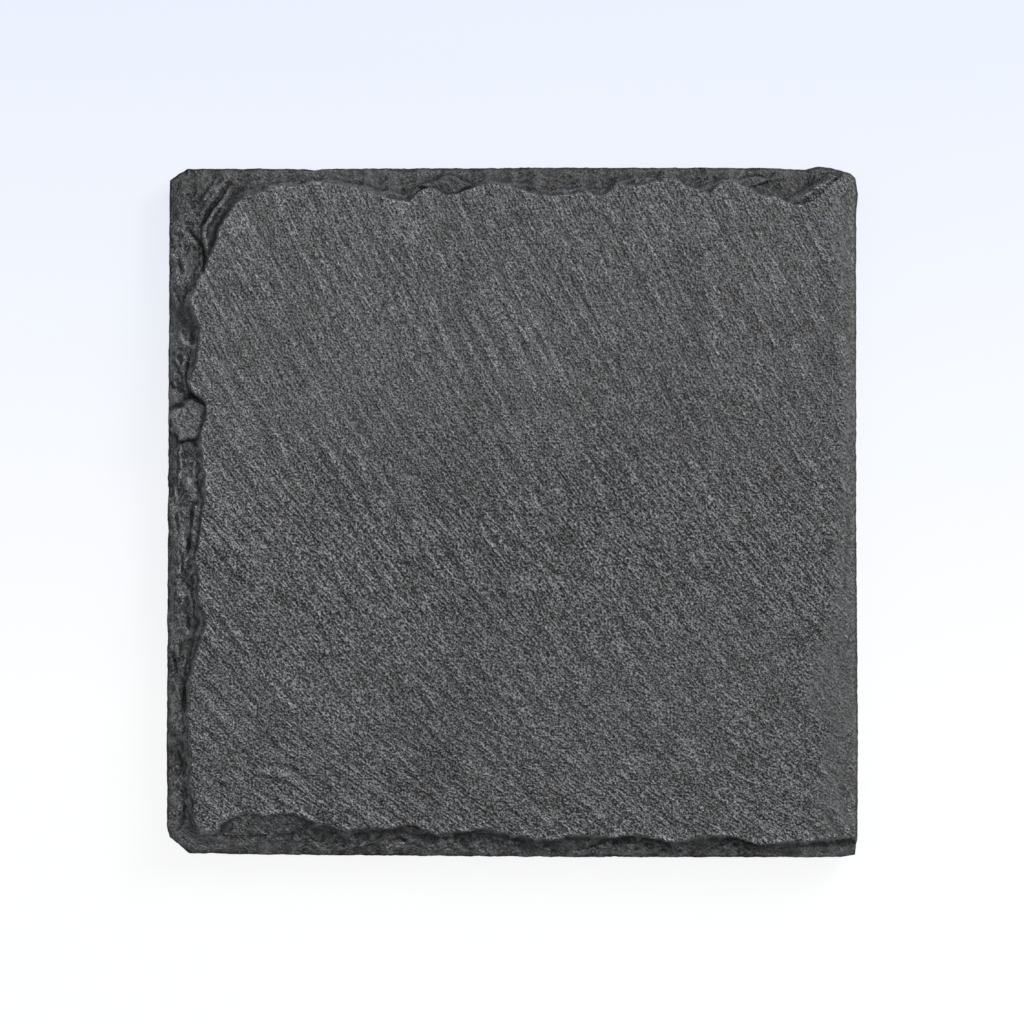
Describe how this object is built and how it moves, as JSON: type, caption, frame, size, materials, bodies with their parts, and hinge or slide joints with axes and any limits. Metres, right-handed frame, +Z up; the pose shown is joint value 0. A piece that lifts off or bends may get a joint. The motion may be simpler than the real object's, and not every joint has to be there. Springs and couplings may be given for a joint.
{
  "type": "stone work slab",
  "caption": "Square slab of naturally split slate with knapped edges, standing on stick-on foam feet: a hard flat base for leather tooling and stamping.",
  "frame": {"origin": "on the surface the slab stands on, under the middle of the slab", "axes": "+Z up through the slab's thickness, +Y to the rear side, +X to the right side, whose edge is the worn one; the corner flake is at the rear left"},
  "size_m": [0.1, 0.1, 0.0095],
  "materials": {
    "slate": "dry natural cleft, matt",
    "foam_pad": "closed-cell foam, matt",
    "adhesive_film": "tacky film, satin"
  },
  "bodies": {
    "root": {"slate_slab": "slate", "adhesive_film_front_left": "adhesive_film", "adhesive_film_front_right": "adhesive_film", "adhesive_film_rear_left": "adhesive_film", "adhesive_film_rear_right": "adhesive_film", "foot_pad_front_left": "foam_pad", "foot_pad_front_right": "foam_pad", "foot_pad_rear_left": "foam_pad", "foot_pad_rear_right": "foam_pad"}
  },
  "joints": []
}
